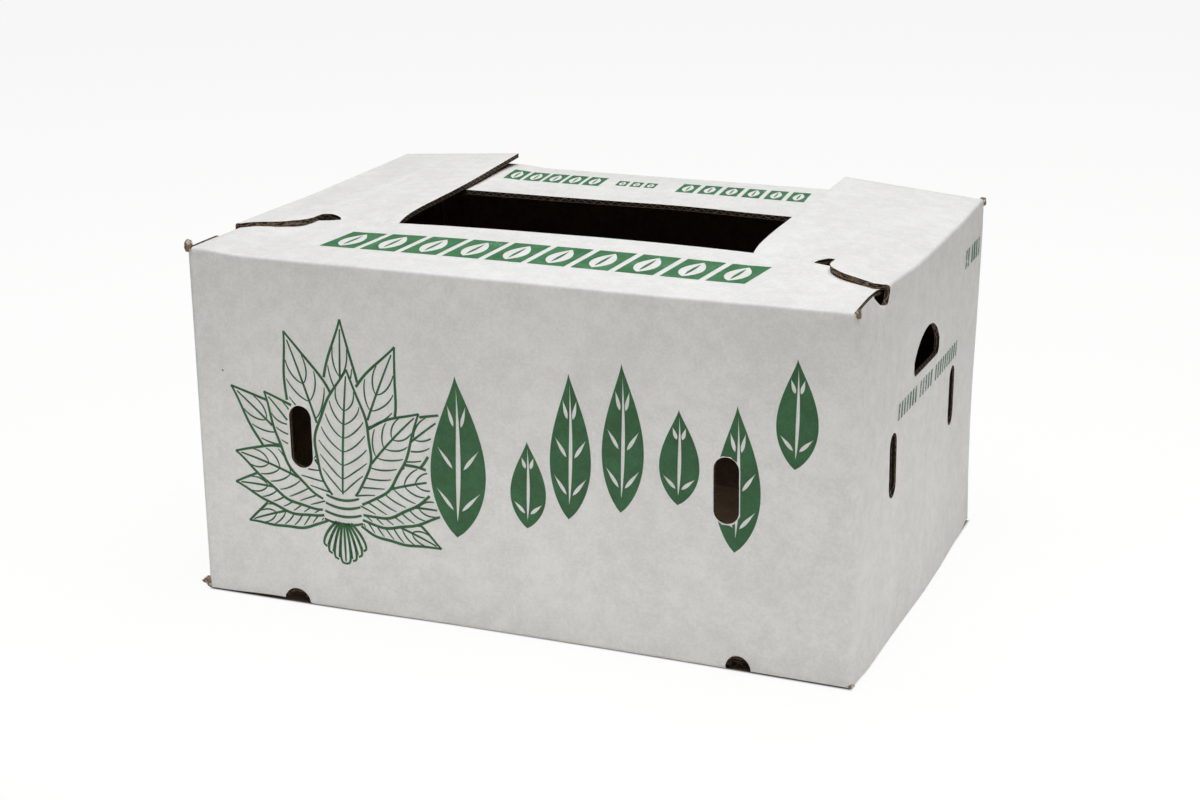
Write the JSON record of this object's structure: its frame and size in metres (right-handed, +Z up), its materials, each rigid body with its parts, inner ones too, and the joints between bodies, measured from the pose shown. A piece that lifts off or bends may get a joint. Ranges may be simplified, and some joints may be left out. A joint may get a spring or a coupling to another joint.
{
  "type": "corrugated produce box",
  "caption": "Folded corrugated produce box with an open middle on top, interlocking front flap corners, hand holes and vents.",
  "frame": {"origin": "middle of the bottom of the box's bounding box", "axes": "+X along the long walls, -Y is the front with the locked flap corners, +Z up"},
  "size_m": [0.56, 0.384, 0.3088],
  "materials": {
    "white_board": "white-faced corrugated board outside, plain brown board inside and on its cut edges"
  },
  "bodies": {
    "root": {"folded_box": "white_board"}
  },
  "joints": []
}
